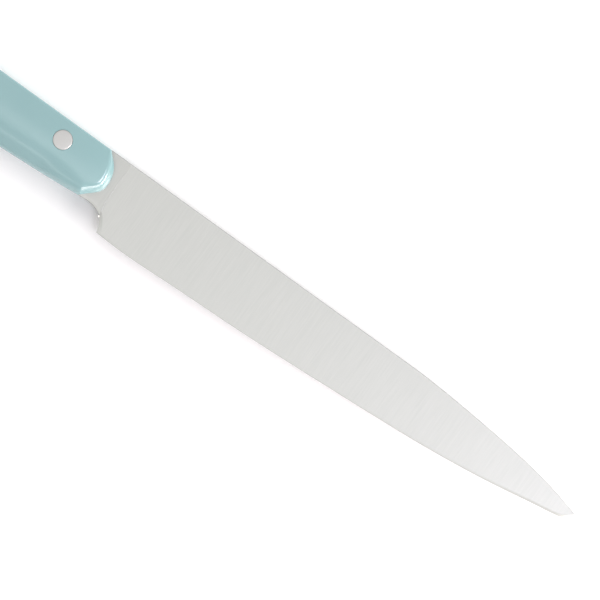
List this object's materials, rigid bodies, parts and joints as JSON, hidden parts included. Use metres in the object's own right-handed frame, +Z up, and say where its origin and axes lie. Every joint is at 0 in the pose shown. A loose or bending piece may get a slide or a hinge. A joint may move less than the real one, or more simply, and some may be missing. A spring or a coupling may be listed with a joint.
{
  "type": "carving knife",
  "caption": "Full-tang carving knife with a long flat-ground blade, a small choil and two riveted glossy handle scales, lying on its side.",
  "frame": {"origin": "under the middle of the knife's bounding box, on the surface that it lies on", "axes": "+X from the butt towards the tip, +Y towards the spine, +Z up out of the right side, on which the blade is seen with its tip to the right and its edge down"},
  "size_m": [0.3812, 0.0342, 0.0188],
  "materials": {
    "blade_steel": "satin ground stainless steel",
    "handle": "polished pale teal moulded plastic",
    "rivet": "satin stainless steel"
  },
  "bodies": {
    "root": {"blade": "blade_steel", "right_scale": "handle", "left_scale": "handle", "front_rivet_socket": "rivet", "front_rivet_pin": "rivet", "middle_rivet_socket": "rivet", "middle_rivet_pin": "rivet", "rear_rivet_socket": "rivet", "rear_rivet_pin": "rivet"}
  },
  "joints": []
}
